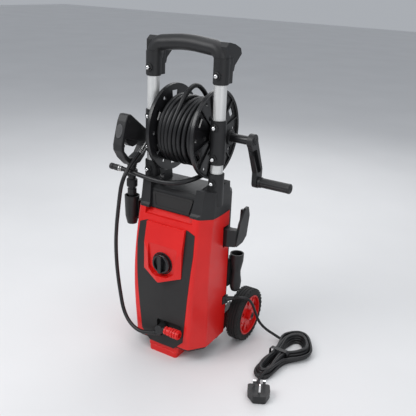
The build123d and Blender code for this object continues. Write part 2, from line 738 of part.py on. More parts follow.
with BuildPart() as inlet_coupling:
    for start, length, radius in (
        (18.2, 5, 9.5), (23, 4, 8), (26.5, 9, 10.5), (35, 3, 8.5), (37.5, 5, 11.5), (42, 3, 9),
        (44.5, 5, 11.5), (49, 3, 9), (51.5, 5.5, 11.5), (56.5, 2.5, 9.5),
    ):
        with BuildSketch(Plane.YZ.offset(start)):
            with Locations((PORT_Y, PORT_Z + 1)):
                Circle(radius)
                if radius > 9:
                    with PolarLocations(radius + 0.6, 14):
                        Circle(1.2, mode=Mode.SUBTRACT)
        extrude(amount=length)
    with Locations((50, PORT_Y, PORT_Z + 1)):
        Cylinder(6, 24, rotation=(0, 90, 0), mode=Mode.SUBTRACT)
save(inlet_coupling.part, "inlet_coupling")

# ---- reel swivel: nut on the reel's axis and the metal pipe down to the lead hose ----
PIPE_X = -110.9
LEAD_START = Vector(PIPE_X, -11.0, 490.0)
LEAD_OUT = Vector(0, -0.8, -0.6)
with BuildPart() as reel_swivel:
    with BuildSketch(Plane.YZ.offset(-103.6)):
        with Locations((REEL_Y, REEL_Z)):
            RegularPolygon(11, 6)
    extrude(amount=-11)
    with BuildLine() as pipe_line:
        Line((PIPE_X, REEL_Y, REEL_Z), LEAD_START - LEAD_OUT * 13)
    with BuildSketch(Plane(origin=pipe_line.line @ 0, z_dir=pipe_line.line % 0)):
        Circle(4.5)
    sweep()
    with BuildSketch(Plane(origin=LEAD_START, z_dir=LEAD_OUT)):
        Circle(5.2)
    extrude(amount=-15)
save(reel_swivel.part, "reel_swivel")

# ---- trigger gun, stored muzzle down ----
GUN_OUTLINE = (
    (-42, 455), (-66, 477), (-79, 497), (-79.5, 510), (-72, 536), (-63, 563), (-54, 578),
    (-43, 577), (18, 531), (26, 511), (22, 488), (8, 468), (-9, 455),
)
GUN_OPENING = (
    (-67, 517), (-67.5, 495), (-49, 475), (-25, 469), (-4, 477), (7, 491), (8, 502), (-62, 523),
)
TRIGGER_SLOT = ((-58, 538), (-58, 512), (-30, 503), (-2, 498), (-2, 521), (-30, 534))
TRIGGER_OUTLINE = (
    (-55, 522), (-52, 511), (-42, 502), (-28, 497), (-16, 499), (-8, 507), (-8, 515), (-16, 519),
    (-30, 521), (-44, 527),
)
TRIGGER_PIVOT = (-13.0, 511.5)
PIVOT_R = 2.5
LOCK_PLANE = Plane(
    origin=(GUN_X, -70.8, 541), x_dir=(1, 0, 0), z_dir=(0, -0.956, 0.292)
)
with BuildPart() as gun_shell:
    with BuildSketch(Plane.YZ.offset(GUN_X - GUN_THICK / 2)):
        with BuildLine():
            Polyline(*GUN_OUTLINE, close=True)
        make_face()
        fillet(vertices(), 5)
        with BuildLine():
            Polyline(*GUN_OPENING, close=True)
        make_face(mode=Mode.SUBTRACT)
    extrude(amount=GUN_THICK)
    fillet(faces().filter_by(Axis.X).edges(), 3)
    add(across(TRIGGER_SLOT, GUN_X - 6.5, GUN_X + 6.5), mode=Mode.SUBTRACT)
    with BuildSketch(LOCK_PLANE.offset(-8)):
        Ellipse(9.8, 16.8)
    extrude(amount=20, mode=Mode.SUBTRACT)
    with Locations((GUN_X, BARREL_Y, 460)):
        Cylinder(BARREL_R - 2 + 0.02, 16, mode=Mode.SUBTRACT)
    with Locations((GUN_X, *TRIGGER_PIVOT)):
        Cylinder(PIVOT_R, 14, rotation=(0, 90, 0))
save(gun_shell.part, "gun_shell")

with BuildPart() as gun_trigger:
    with BuildSketch(Plane.YZ.offset(GUN_X - 5.5)):
        with BuildLine():
            Polyline(*TRIGGER_OUTLINE, close=True)
        make_face()
        fillet(vertices(), 2)
        with Locations(TRIGGER_PIVOT):
            Circle(PIVOT_R + 0.06, mode=Mode.SUBTRACT)
    extrude(amount=11)
save(gun_trigger.part, "gun_trigger")

with BuildPart() as gun_lock:
    with BuildSketch(LOCK_PLANE.offset(-3.4)):
        Ellipse(9.5, 16.5)
    extrude(amount=4.9)
    fillet(faces().sort_by(Axis.Y)[0].edges(), 1.2)
save(gun_lock.part, "gun_lock")

with BuildPart() as gun_barrel:
    with BuildSketch(Plane.XZ.offset(-BARREL_Y)):
        with BuildLine():
            Polyline(
                (GUN_X, 316), (GUN_X + 6, 316), (GUN_X + 8, 324), (GUN_X + 8, 376),
                (GUN_X + 11, 378), (GUN_X + 11, 392), (GUN_X + 8.6, 393), (GUN_X + 8.6, 397),
                (GUN_X + 12.5, 398), (GUN_X + 12.5, 416), (GUN_X + 9.5, 418), (GUN_X + 9.5, 424),
                (GUN_X + 13, 425), (GUN_X + 13, 440), (GUN_X + 10, 442), (GUN_X + 10, 454.8),
                (GUN_X + 8, 454.8), (GUN_X + 8, 466), (GUN_X, 466), close=True,
            )
        make_face()
    revolve(axis=Axis((GUN_X, BARREL_Y, 0), (0, 0, 1)))
save(gun_barrel.part, "gun_barrel")

with BuildPart() as gun_holster:
    with BuildSketch(Plane.XZ.offset(-BARREL_Y)):
        with BuildLine():
            Polyline(
                (GUN_X, 303), (GUN_X + 12, 303), (GUN_X + 16.5, 322), (GUN_X + 17.6, 350),
                (GUN_X + 18.4, 375), (GUN_X + 15.8, 375), (GUN_X + 15, 350), (GUN_X + 13.5, 324),
                (GUN_X + 10, 309), (GUN_X, 309), close=True,
            )
        make_face()
    revolve(axis=Axis((GUN_X, BARREL_Y, 0), (0, 0, 1)))
    with BuildSketch(Plane.XY.offset(320)):
        with BuildLine():
            Polyline((-103.4, -34), (-103.4, -4), (-112.6, -12), (-112.6, -26), close=True)
        make_face()
    extrude(amount=48)
save(gun_holster.part, "gun_holster")

# ---- cord hooks on both flanks ----
for side_name, side in (("left", -1), ("right", 1)):
    with BuildPart() as hook:
        with BuildSketch(Plane.XY.offset(286)):
            with BuildLine():
                Polyline(
                    (side * 94, 22), (side * 112, 20), (side * 130, 30), (side * 130, 46),
                    (side * 114, 42), (side * 94, 44), close=True,
                )
            make_face()
        extrude(amount=42)
        with BuildSketch(Plane.YZ.offset(side * 130 - 3)):
            with BuildLine():
                Polyline(
                    (28, 286), (44, 340), (68, 372), (82, 374), (90, 350), (80, 300), (62, 288),
                    close=True,
                )
            make_face()
            fillet(vertices(), 4)
        extrude(amount=6)
        with BuildSketch(Plane.YZ.offset(side * 124 - 6)):
            with BuildLine():
                Polyline((74, 300), (68, 340), (70, 366), (78, 366), (84, 345), (79, 300), close=True)
            make_face()
        extrude(amount=12)
    save(hook.part, f"cord_hook_{side_name}")

# ---- lance holder above the right wheel ----
HOLDER_X = 116.0
HOLDER_Y = 70.0
with BuildPart() as lance_holder:
    with BuildSketch(Plane.XZ.offset(-HOLDER_Y)):
        with BuildLine():
            Polyline(
                (HOLDER_X, 152), (HOLDER_X + 10, 152), (HOLDER_X + 13, 160), (HOLDER_X + 14.5, 178),
                (HOLDER_X + 12, 194), (HOLDER_X + 11.5, 206), (HOLDER_X + 16.5, 232),
                (HOLDER_X + 17, 252), (HOLDER_X + 14, 252), (HOLDER_X + 13.5, 234),
                (HOLDER_X + 8.5, 208), (HOLDER_X + 8.5, 158), (HOLDER_X, 158), close=True,
            )
        make_face()
    revolve(axis=Axis((HOLDER_X, HOLDER_Y, 0), (0, 0, 1)))
    with BuildSketch(Plane.XY.offset(166)):
        with BuildLine():
            Polyline(
                (99.6, 50), (99.6, 58.4), (92.5, 71.5), (104.8, 76), (106, 68), (104.8, 50),
                close=True,
            )
        make_face()
    extrude(amount=74)
    with Locations((HOLDER_X, HOLDER_Y, 220)):
        Cylinder(8.5, 124, mode=Mode.SUBTRACT)
    with Locations((HOLDER_X, HOLDER_Y, 233)):
        Cone(8.5, 13.5, 26, mode=Mode.SUBTRACT)
save(lance_holder.part, "lance_holder")

# ---- mains cable gland at the casing's right rear ----
CORD_EXIT = Vector(122, 54, 137)
CORD_OUT = (Vector(138, 66, 139) - CORD_EXIT).normalized()
with BuildPart() as cable_gland:
    with BuildSketch(Plane(origin=CORD_EXIT, z_dir=CORD_OUT)):
        Circle(CORD_D / 2 + 1)
    with BuildSketch(Plane(origin=CORD_EXIT - CORD_OUT * 20, z_dir=CORD_OUT)):
        Circle(CORD_D / 2 + 3.5)
    loft()
    with BuildSketch(Plane.XY.offset(124)):
        with BuildLine():
            Polyline((97.5, 30.5), (105, 30.5), (112, 44), (107, 51), (99.6, 46.2), (97.5, 46.2), close=True)
        make_face()
    extrude(amount=20)
save(cable_gland.part, "cable_gland")


def flexible_tube(route, diameter, name):
    """A hose or cord along straight runs and tangent arcs as large as the runs allow."""
    points = [Vector(*point) for point in route]
    radii = []
    for before, corner, after in zip(points, points[1:], points[2:]):
        turn = radians((corner - before).get_angle(after - corner))
        shorter = min((corner - before).length, (after - corner).length)
        radii.append(0.45 * shorter / tan(turn / 2))
    with BuildPart() as tube:
        with BuildLine() as path:
            FilletPolyline(*points, radius=radii)
        with BuildSketch(Plane(origin=path.line @ 0, z_dir=path.line % 0)):
            Circle(diameter / 2)
        sweep()
    length = path.wire().length
    straight_volume = pi * diameter**2 / 4 * length
    print(name, "radii", [round(r) for r in radii])
    print(name, "length", round(length), "volume", round(tube.part.volume / straight_volume, 4))
    save(tube.part, name)


# ---- lead hose from the reel's swivel down the left side to the water port ----
LEAD_ROUTE = (
    tuple(LEAD_START), (-110.9, -31, 475), (-110, -56, 463), (-111, -76, 444), (-116, -84, 418),
    (-121, -84, 390), (-127, -82, 358), (-132, -83, 315), (-136, -82, 267), (-137, -79, 213),
    (-136, -74, 163), (-131, -72, 122), (-119, -78, 90), (-97, -87, 69), (-70, -93, 57),
    tuple(LEAD_LAST_BEND), tuple(LEAD_END),
)
flexible_tube(LEAD_ROUTE, LEAD_D, "lead_hose")

# ---- free end of the wound hose, lying over the deck to the gun's side ----
TAIL_ROUTE = (
    (45, 42, 454.5), (46, 18, 452), (40, -8, 448), (25, -29, 442), (2, -42, 437), (-25, -47, 435),
    (-55, -50, 436.5), (-90, -52, 441), (-120, -54, 446), (-146, -54, 447),
)
flexible_tube(TAIL_ROUTE, HOSE_D, "hose_tail")

TAIL_END = Vector(*TAIL_ROUTE[-1])
TAIL_OUT = (TAIL_END - Vector(*TAIL_ROUTE[-2])).normalized()
with BuildPart() as tail_fitting:
    for start, length, radius in ((0, 12, 7.5), (12, 4, 6.2), (16, 9, 7.5)):
        with BuildSketch(Plane(origin=TAIL_END + TAIL_OUT * start, z_dir=TAIL_OUT)):
            Circle(radius)
        extrude(amount=length)
    fillet(edges().filter_by(GeomType.CIRCLE).group_by(SortBy.RADIUS)[-1], 1.2)
save(tail_fitting.part, "tail_fitting")

# ---- mains lead: gland to floor, then a tied hank, then the plug ----
MAINS_ROUTE = (
    tuple(CORD_EXIT), (138, 66, 139), (153, 80, 131), (158, 93, 111), (160, 104, 88),
    (164, 112, 66), (172, 120, 46), (186, 130, 29), (201, 141, 16), (217, 153, 9),
)
flexible_tube(MAINS_ROUTE, CORD_D, "mains_lead")

PLUG_BACK = Vector(254, -52, 8)
PLUG_DIR = Vector(0.487, -0.873, 0).normalized()
HANK_HEIGHT = 27.0
HANK_OUTLINE = (
    (238, -49), (217, -20), (219, 30), (229, 76), (220, 116), (215, 154), (228, 178), (250, 200),
    (274, 197), (304, 152), (323, 112), (308, 84), (284, 56), (271, 30), (267, -6), (272, -36),
)
HANK_OPENING = ((252, 128), (262, 156), (277, 146), (286, 120), (266, 108))
with BuildPart() as mains_hank:
    with BuildSketch(Plane.XY):
        with BuildLine():
            Spline(*HANK_OUTLINE, periodic=True)
        make_face()
        with BuildLine():
            Spline(*HANK_OPENING, periodic=True)
        make_face(mode=Mode.SUBTRACT)
    extrude(amount=HANK_HEIGHT)
    chamfer(faces().sort_by(Axis.Z)[-1].outer_wire().edges(), 4)
    with BuildSketch(Plane(origin=PLUG_BACK, z_dir=PLUG_DIR)):
        Rectangle(120, 80)
    extrude(amount=40, mode=Mode.SUBTRACT)
save(mains_hank.part, "mains_hank")

PLUG_X = PLUG_DIR.rotate(Axis.Z, 90)
PLUG_BODY_BACK = PLUG_BACK + PLUG_DIR * 22
PLUG_FACE = 20.0
PLUG_TOP = Plane(
    origin=(PLUG_BODY_BACK.X, PLUG_BODY_BACK.Y, PLUG_FACE), x_dir=PLUG_X, z_dir=(0, 0, 1)
)
with BuildPart() as mains_plug:
    with BuildSketch(Plane(origin=(PLUG_BODY_BACK.X, PLUG_BODY_BACK.Y, 0), x_dir=PLUG_X, z_dir=(0, 0, 1))):
        with BuildLine():
            Polyline((-25, 2), (-25, -22), (-14, -44), (14, -44), (25, -22), (25, 2), close=True)
        make_face()
        fillet(vertices(), 6)
    extrude(amount=PLUG_FACE)
    fillet(faces().sort_by(Axis.Z)[0].edges(), 3)
    with BuildSketch(Plane(origin=PLUG_BACK, z_dir=PLUG_DIR)):
        Circle(4.5)
    with BuildSketch(Plane(origin=PLUG_BODY_BACK, z_dir=PLUG_DIR)):
        Circle(7)
    loft()
save(mains_plug.part, "mains_plug")

with BuildPart() as plug_pins:
    with BuildSketch(PLUG_TOP):
        with Locations((-11.1, -10), (11.1, -10)):
            Rectangle(6.35, 4)
    extrude(amount=17.7)
    with BuildSketch(PLUG_TOP):
        with Locations((0, -32)):
            Rectangle(4, 8)
    extrude(amount=22.7)
    chamfer(faces().sort_by(Axis.Z)[-1].edges(), 0.8)
save(plug_pins.part, "plug_pins")
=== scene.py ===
import random
from math import cos, exp, pi, radians, sin

import bmesh
import bpy
from mathutils import Matrix, Vector


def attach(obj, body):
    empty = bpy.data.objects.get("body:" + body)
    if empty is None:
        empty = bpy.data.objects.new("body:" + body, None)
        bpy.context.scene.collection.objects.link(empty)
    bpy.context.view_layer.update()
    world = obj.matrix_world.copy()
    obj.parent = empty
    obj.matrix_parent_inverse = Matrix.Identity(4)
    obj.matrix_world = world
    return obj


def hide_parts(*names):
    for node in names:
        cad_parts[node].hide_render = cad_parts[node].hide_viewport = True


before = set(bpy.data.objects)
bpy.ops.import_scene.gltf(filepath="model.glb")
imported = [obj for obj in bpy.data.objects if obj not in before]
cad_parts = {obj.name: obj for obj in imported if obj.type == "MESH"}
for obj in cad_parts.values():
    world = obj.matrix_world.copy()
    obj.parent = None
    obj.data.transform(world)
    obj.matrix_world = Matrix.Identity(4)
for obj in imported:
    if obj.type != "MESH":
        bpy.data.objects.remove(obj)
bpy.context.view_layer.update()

# The model's mid-plane and the tubes' plane lie here in the row frame, in millimetres.
MID_X = -44.0
TUBES_Y = -39.5
MM = 0.001


def at(x, y, z):
    """A point given in millimetres from the mid-plane, the tubes' plane and the floor."""
    return Vector(((x + MID_X) * MM, (y + TUBES_Y) * MM, z * MM))


# ---- camera ----
CAMERA_PLACE = at(721.0, -1107.7, 874.5)
CAMERA_TARGET = at(90.9, -36.4, 396.2)
CAMERA_ROLL = radians(2.54)
LENS = 51.89

camera_data = bpy.data.cameras.new("camera")
camera_data.lens = LENS
camera_data.sensor_width = 36.0
camera = bpy.data.objects.new("camera", camera_data)
bpy.context.collection.objects.link(camera)
look = (CAMERA_TARGET - CAMERA_PLACE).to_track_quat("-Z", "Y").to_matrix().to_4x4()
camera.matrix_world = Matrix.Translation(CAMERA_PLACE) @ look @ Matrix.Rotation(CAMERA_ROLL, 4, "Z")
bpy.context.scene.camera = camera


# ---- materials ----
def material(name, colour, accent, roughness, metallic=0.0, grain=1400.0, depth=0.00006,
             coat=0.0, patch=14.0, specular=0.5):
    """A moulded or metal finish: patchy colour, uneven gloss and a fine surface grain."""
    mat = bpy.data.materials.new(name)
    mat.use_nodes = True
    nodes = mat.node_tree.nodes
    links = mat.node_tree.links
    shader = nodes["Principled BSDF"]
    shader.inputs["Metallic"].default_value = metallic
    shader.inputs["Coat Weight"].default_value = coat
    shader.inputs["Coat Roughness"].default_value = 0.12
    shader.inputs["Specular IOR Level"].default_value = specular
    place = nodes.new("ShaderNodeTexCoord")

    blotches = nodes.new("ShaderNodeTexNoise")
    blotches.inputs["Scale"].default_value = patch
    blotches.inputs["Detail"].default_value = 5.0
    links.new(place.outputs["Object"], blotches.inputs["Vector"])
    tint = nodes.new("ShaderNodeValToRGB")
    tint.color_ramp.elements[0].position = 0.35
    tint.color_ramp.elements[1].position = 0.68
    tint.color_ramp.elements[0].color = (*colour, 1)
    tint.color_ramp.elements[1].color = (*accent, 1)
    links.new(blotches.outputs["Fac"], tint.inputs["Fac"])
    links.new(tint.outputs["Color"], shader.inputs["Base Color"])

    gloss = nodes.new("ShaderNodeMapRange")
    gloss.inputs["To Min"].default_value = max(0.02, roughness - 0.07)
    gloss.inputs["To Max"].default_value = roughness + 0.09
    smears = nodes.new("ShaderNodeTexNoise")
    smears.inputs["Scale"].default_value = patch * 4
    smears.inputs["Detail"].default_value = 6.0
    links.new(place.outputs["Object"], smears.inputs["Vector"])
    links.new(smears.outputs["Fac"], gloss.inputs["Value"])
    links.new(gloss.outputs["Result"], shader.inputs["Roughness"])

    texture = nodes.new("ShaderNodeTexNoise")
    texture.inputs["Scale"].default_value = grain
    texture.inputs["Detail"].default_value = 3.0
    links.new(place.outputs["Object"], texture.inputs["Vector"])
    bump = nodes.new("ShaderNodeBump")
    bump.inputs["Strength"].default_value = 0.5
    bump.inputs["Distance"].default_value = depth
    links.new(texture.outputs["Fac"], bump.inputs["Height"])
    links.new(bump.outputs["Normal"], shader.inputs["Normal"])
    return mat


def brushed(mat, along, scale=900.0):
    """Turns a material's grain into fine lines along one axis."""
    nodes = mat.node_tree.nodes
    links = mat.node_tree.links
    place = nodes["Texture Coordinate"]
    stretch = nodes.new("ShaderNodeMapping")
    stretch.inputs["Scale"].default_value = [0.02 if axis == along else 1.0 for axis in "XYZ"]
    links.new(place.outputs["Object"], stretch.inputs["Vector"])
    lines = nodes["Noise Texture.002"]
    lines.inputs["Scale"].default_value = scale
    links.new(stretch.outputs["Vector"], lines.inputs["Vector"])
    return mat


RED = material("red_moulding", (0.66, 0.008, 0.007), (0.73, 0.012, 0.010), 0.36, coat=0.12, grain=2200,
               depth=0.00002, specular=0.35)
BLACK = material("black_moulding", (0.013, 0.013, 0.014), (0.019, 0.019, 0.020), 0.44, grain=1500,
                 depth=0.00007, specular=0.4)
DARK = material("dark_panel", (0.017, 0.016, 0.016), (0.022, 0.021, 0.021), 0.55, grain=1100, depth=0.00012,
                specular=0.35)
GLOSSY = material("glossy_black", (0.009, 0.009, 0.010), (0.013, 0.013, 0.014), 0.3, coat=0.15, grain=1800,
                  depth=0.00002, specular=0.4)
GREY = material("grey_moulding", (0.06, 0.06, 0.062), (0.075, 0.075, 0.077), 0.5, grain=1600, depth=0.00008)
TUBE = brushed(material("anodised_tube", (0.74, 0.74, 0.73), (0.80, 0.80, 0.79), 0.38, metallic=0.55,
                        depth=0.00003), "Z")
STEEL = brushed(material("plated_steel", (0.50, 0.50, 0.50), (0.58, 0.58, 0.57), 0.27, metallic=1.0,
                         depth=0.00003), "X")
CHROME = material("chrome_button", (0.82, 0.82, 0.82), (0.88, 0.88, 0.88), 0.16, metallic=1.0, grain=600,
                  depth=0.00001)
CAST = material("die_cast", (0.42, 0.42, 0.43), (0.50, 0.50, 0.50), 0.48, metallic=0.9, grain=900,
                depth=0.00015)
RUBBER = material("tyre_rubber", (0.012, 0.012, 0.012), (0.018, 0.017, 0.017), 0.68, grain=1000,
                  depth=0.00016, specular=0.35)
HOSE = material("hose_rubber", (0.008, 0.008, 0.009), (0.013, 0.013, 0.014), 0.36, grain=1300, depth=0.00006,
                patch=40, specular=0.4)
CORD = material("cord_sheath", (0.010, 0.010, 0.011), (0.015, 0.015, 0.016), 0.42, grain=1500, depth=0.00005,
                patch=40, specular=0.4)

NODE_LOOKS = {
    RED: "front_cover front_foot front_fascia inlet_coupling wheel_rim_left wheel_rim_right",
    DARK: "front_panel top_plate",
    GLOSSY: "reel_flange_left reel_flange_right reel_drum reel_axle switch_knob",
    GREY: "gun_lock",
    TUBE: "tube_left tube_right",
    STEEL: "wheel_axle rotor_shaft cover_screws reel_swivel",
    CAST: "motor_housing pump_crankcase pump_head",
    RUBBER: "tyre_left tyre_right",
    CHROME: "plug_pins",
}
looks = {name: mat for mat, names in NODE_LOOKS.items() for name in names.split()}
for name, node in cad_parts.items():
    finish = CHROME if name.startswith("snap_button") else looks.get(name, BLACK)
    node.data.materials.clear()
    node.data.materials.append(finish)


# ---- piece making ----
def finish_piece(obj, body, mat):
    obj.data.materials.append(mat)
    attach(obj, body)
    return obj


def mesh_piece(name, build, body, mat, soften=0.0):
    """A piece whose mesh is made by build(bm), with its edges softened."""
    mesh = bpy.data.meshes.new(name)
    bm = bmesh.new()
    build(bm)
    bmesh.ops.recalc_face_normals(bm, faces=bm.faces)
    for face in bm.faces:
        face.smooth = True
    bm.to_mesh(mesh)
    bm.free()
    obj = bpy.data.objects.new(name, mesh)
    bpy.context.collection.objects.link(obj)
    if soften:
        bevel = obj.modifiers.new("soften", "BEVEL")
        bevel.width = soften
        bevel.segments = 2
        bevel.limit_method = "ANGLE"
        bevel.harden_normals = True
    return finish_piece(obj, body, mat)


def facing(place, axis):
    """A frame at a place whose Z is an axis."""
    return Matrix.Translation(place) @ Vector(axis).to_track_quat("Z", "Y").to_matrix().to_4x4()


def lathe(bm, profile, frame_at, steps=48):
    """Adds a ring turned from (radius, height) points in millimetres; the profile is closed."""
    rings = []
    for step in range(steps):
        turn = Matrix.Rotation(2 * pi * step / steps, 4, "Z")
        rings.append([bm.verts.new(frame_at @ turn @ Vector((r * MM, 0, h * MM))) for r, h in profile])
    for step, ring in enumerate(rings):
        after = rings[(step + 1) % steps]
        for i in range(len(profile)):
            j = (i + 1) % len(profile)
            bm.faces.new((ring[i], ring[j], after[j], after[i]))


def block(bm, frame_at, size):
    """Adds a box of a size in millimetres."""
    bmesh.ops.create_cube(bm, size=1.0, matrix=frame_at @ Matrix.Diagonal((*[s * MM for s in size], 1)))


# ---- cords: each repeats the route of its tube, in millimetres from the mid-plane ----
def cord_curve(name, points, diameter, body, mat):
    """A round cord along one smooth NURBS line."""
    data = bpy.data.curves.new(name, "CURVE")
    data.dimensions = "3D"
    data.bevel_depth = diameter * MM / 2
    data.bevel_resolution = 4
    data.resolution_u = 8
    data.use_fill_caps = True
    line = data.splines.new("NURBS")
    line.points.add(len(points) - 1)
    for point, place in zip(line.points, points):
        point.co = (*at(*place), 1.0)
    line.order_u = 3
    line.use_endpoint_u = True
    obj = bpy.data.objects.new(name, data)
    bpy.context.collection.objects.link(obj)
    return finish_piece(obj, body, mat)


LEAD_D = 9.5
HOSE_D = 11.0
CORD_D = 7.0

LEAD_ROUTE = (
    (-110.9, -11, 490), (-110.9, -31, 475), (-110, -56, 463), (-111, -76, 444), (-116, -84, 418),
    (-121, -84, 390), (-127, -82, 358), (-132, -83, 315), (-136, -82, 267), (-137, -79, 213),
    (-136, -74, 163), (-131, -72, 122), (-119, -78, 90), (-97, -87, 69), (-70, -93, 57),
    (-42, -94, 55), (-14.5, -90, 63),
)
lead = cord_curve("lead_hose_line", LEAD_ROUTE, LEAD_D, "root", HOSE)
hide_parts("lead_hose")

TAIL_ROUTE = (
    (45, 42, 454.5), (46, 18, 452), (40, -8, 448), (25, -29, 442), (2, -42, 437), (-25, -47, 435),
    (-55, -50, 436.5), (-90, -52, 441), (-120, -54, 446), (-146, -54, 447),
)
tail = cord_curve("hose_tail_line", TAIL_ROUTE, HOSE_D, "root", HOSE)
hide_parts("hose_tail")

# The wound hose: one layer from right to left and a second, looser layer back over it.
REEL_Y = 38.7
REEL_Z = 543.7
LAYER_R = (63.8, 75.0)
LAYER_TURNS = 8
LAYER_X = 46.0
POINTS_PER_TURN = 16
LOOP_RISE = 31.0
LOOP_TURN = 4
LOOP_WIDTH = 0.5
TILT = 9.0
TILT_PHASE = 0.8
WANDER = 0.5
SWELL = 2.4
SWELL_RATE = 1.7
END_RISE = 6.0
START_DIP = 3.5


def wound_points():
    rng = random.Random(4)
    points = []
    steps = LAYER_TURNS * POINTS_PER_TURN
    for layer, radius in enumerate(LAYER_R):
        for step in range(steps + layer):
            share = step / steps
            turns_left = LAYER_TURNS * (2 - layer - share)
            angle = -pi / 2 + 2 * pi * turns_left
            x = LAYER_X * (1 - 2 * share) * (1 if layer == 0 else -1)
            r = radius + rng.uniform(-WANDER, WANDER) + SWELL * layer * abs(sin(SWELL_RATE * angle))
            if layer == 1:
                x += TILT * (1 - (x / LAYER_X) ** 2) * sin(angle + TILT_PHASE)
                raised_turn = 2 * pi * LOOP_TURN + pi / 2
                r += LOOP_RISE * exp(-((angle - raised_turn) / LOOP_WIDTH) ** 2)
                r += END_RISE * max(0.0, 1 - LAYER_TURNS * (1 - share) * 5)
            elif step == 0:
                r -= START_DIP
            points.append((x, REEL_Y + r * cos(angle), REEL_Z + r * sin(angle)))
    return points


WOUND = wound_points()
wound = cord_curve("wound_hose", WOUND, HOSE_D, "reel", HOSE)
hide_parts("hose_coil")

# The mains lead: gland to floor, eleven turns of a tied hank, then the plug.
MAINS_ROUTE = (
    (122, 54, 137), (138, 66, 139), (153, 80, 131), (158, 93, 111), (160, 104, 88), (164, 112, 66),
    (172, 120, 46), (186, 130, 29), (201, 141, 16),
)
HANK_INNER = (
    (246, 132), (254, 157), (266, 163), (279, 154), (289, 138), (292, 122), (281, 104), (264, 90),
    (257, 74), (256, 40), (255, 5), (251, -8), (245, -11), (239, -3), (238, 30), (246, 72), (247, 104),
)
HANK_OUTER = (
    (219, 152), (228, 174), (251, 195), (274, 192), (299, 158), (318, 118), (303, 86), (281, 62),
    (269, 52), (265, 30), (267, -6), (262, -26), (246, -34), (229, -28), (222, 0), (231, 60),
    (226, 112),
)
WAIST = (8, 9, 14, 15)
TURN_ORDER = (
    (2, 0), (2, 1), (1, 1), (1, 0), (0, 0), (0, 1), (0, 2), (0, 3), (1, 3), (1, 2), (2, 2),
)
PLUG_END = ((266, 20, 21), (262, -4, 22), (255, -22, 20), (250, -37, 12), (254, -52, 8))


def hank_points():
    rng = random.Random(11)
    points = []
    count = len(HANK_INNER)
    for turn, (ring, layer) in enumerate(TURN_ORDER):
        following = TURN_ORDER[min(turn + 1, len(TURN_ORDER) - 1)]
        last = turn == len(TURN_ORDER) - 1
        for step in range(count if not last else count - 8):
            blend = max(0.0, (step - count + 4) / 4)
            r = ring + (following[0] - ring) * blend
            level = layer + (following[1] - layer) * blend
            tight = step in WAIST
            order = level if ring % 2 == 0 else 3 - level
            spread = r / 2 if tight else (4 * r + order) / 11
            inner = Vector(HANK_INNER[step])
            outer = Vector(HANK_OUTER[step])
            spot = inner + (outer - inner) * spread
            loose = 0.3 if tight else 1.3
            z = CORD_D / 2 + 0.1 + level * (6.6 if tight else 5.6)
            points.append((spot.x + rng.uniform(-loose, loose), spot.y + rng.uniform(-loose, loose), z))
    return points


MAINS = MAINS_ROUTE + tuple(hank_points()) + PLUG_END
mains = cord_curve("mains_cord", MAINS, CORD_D, "root", CORD)
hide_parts("mains_lead", "mains_hank")


# ---- small pieces ----
def ring_set(bm, frame_at, rings, steps=48):
    """Plain rings given as (inner radius, outer radius, start, end) with small bevels."""
    for inner, outer, start, end in rings:
        edge = min(0.4, (outer - inner) / 3, (end - start) / 3)
        lathe(bm, (
            (inner, start), (outer - edge, start), (outer, start + edge), (outer, end - edge),
            (outer - edge, end), (inner, end),
        ), frame_at, steps)


def screw_head(bm, frame_at, radius, height):
    """A domed screw head with a round socket."""
    lathe(bm, (
        (0.05, 0), (radius, 0), (radius, height * 0.5), (radius * 0.8, height), (radius * 0.5, height),
        (radius * 0.45, height * 0.35), (0.05, height * 0.35),
    ), frame_at, 18)


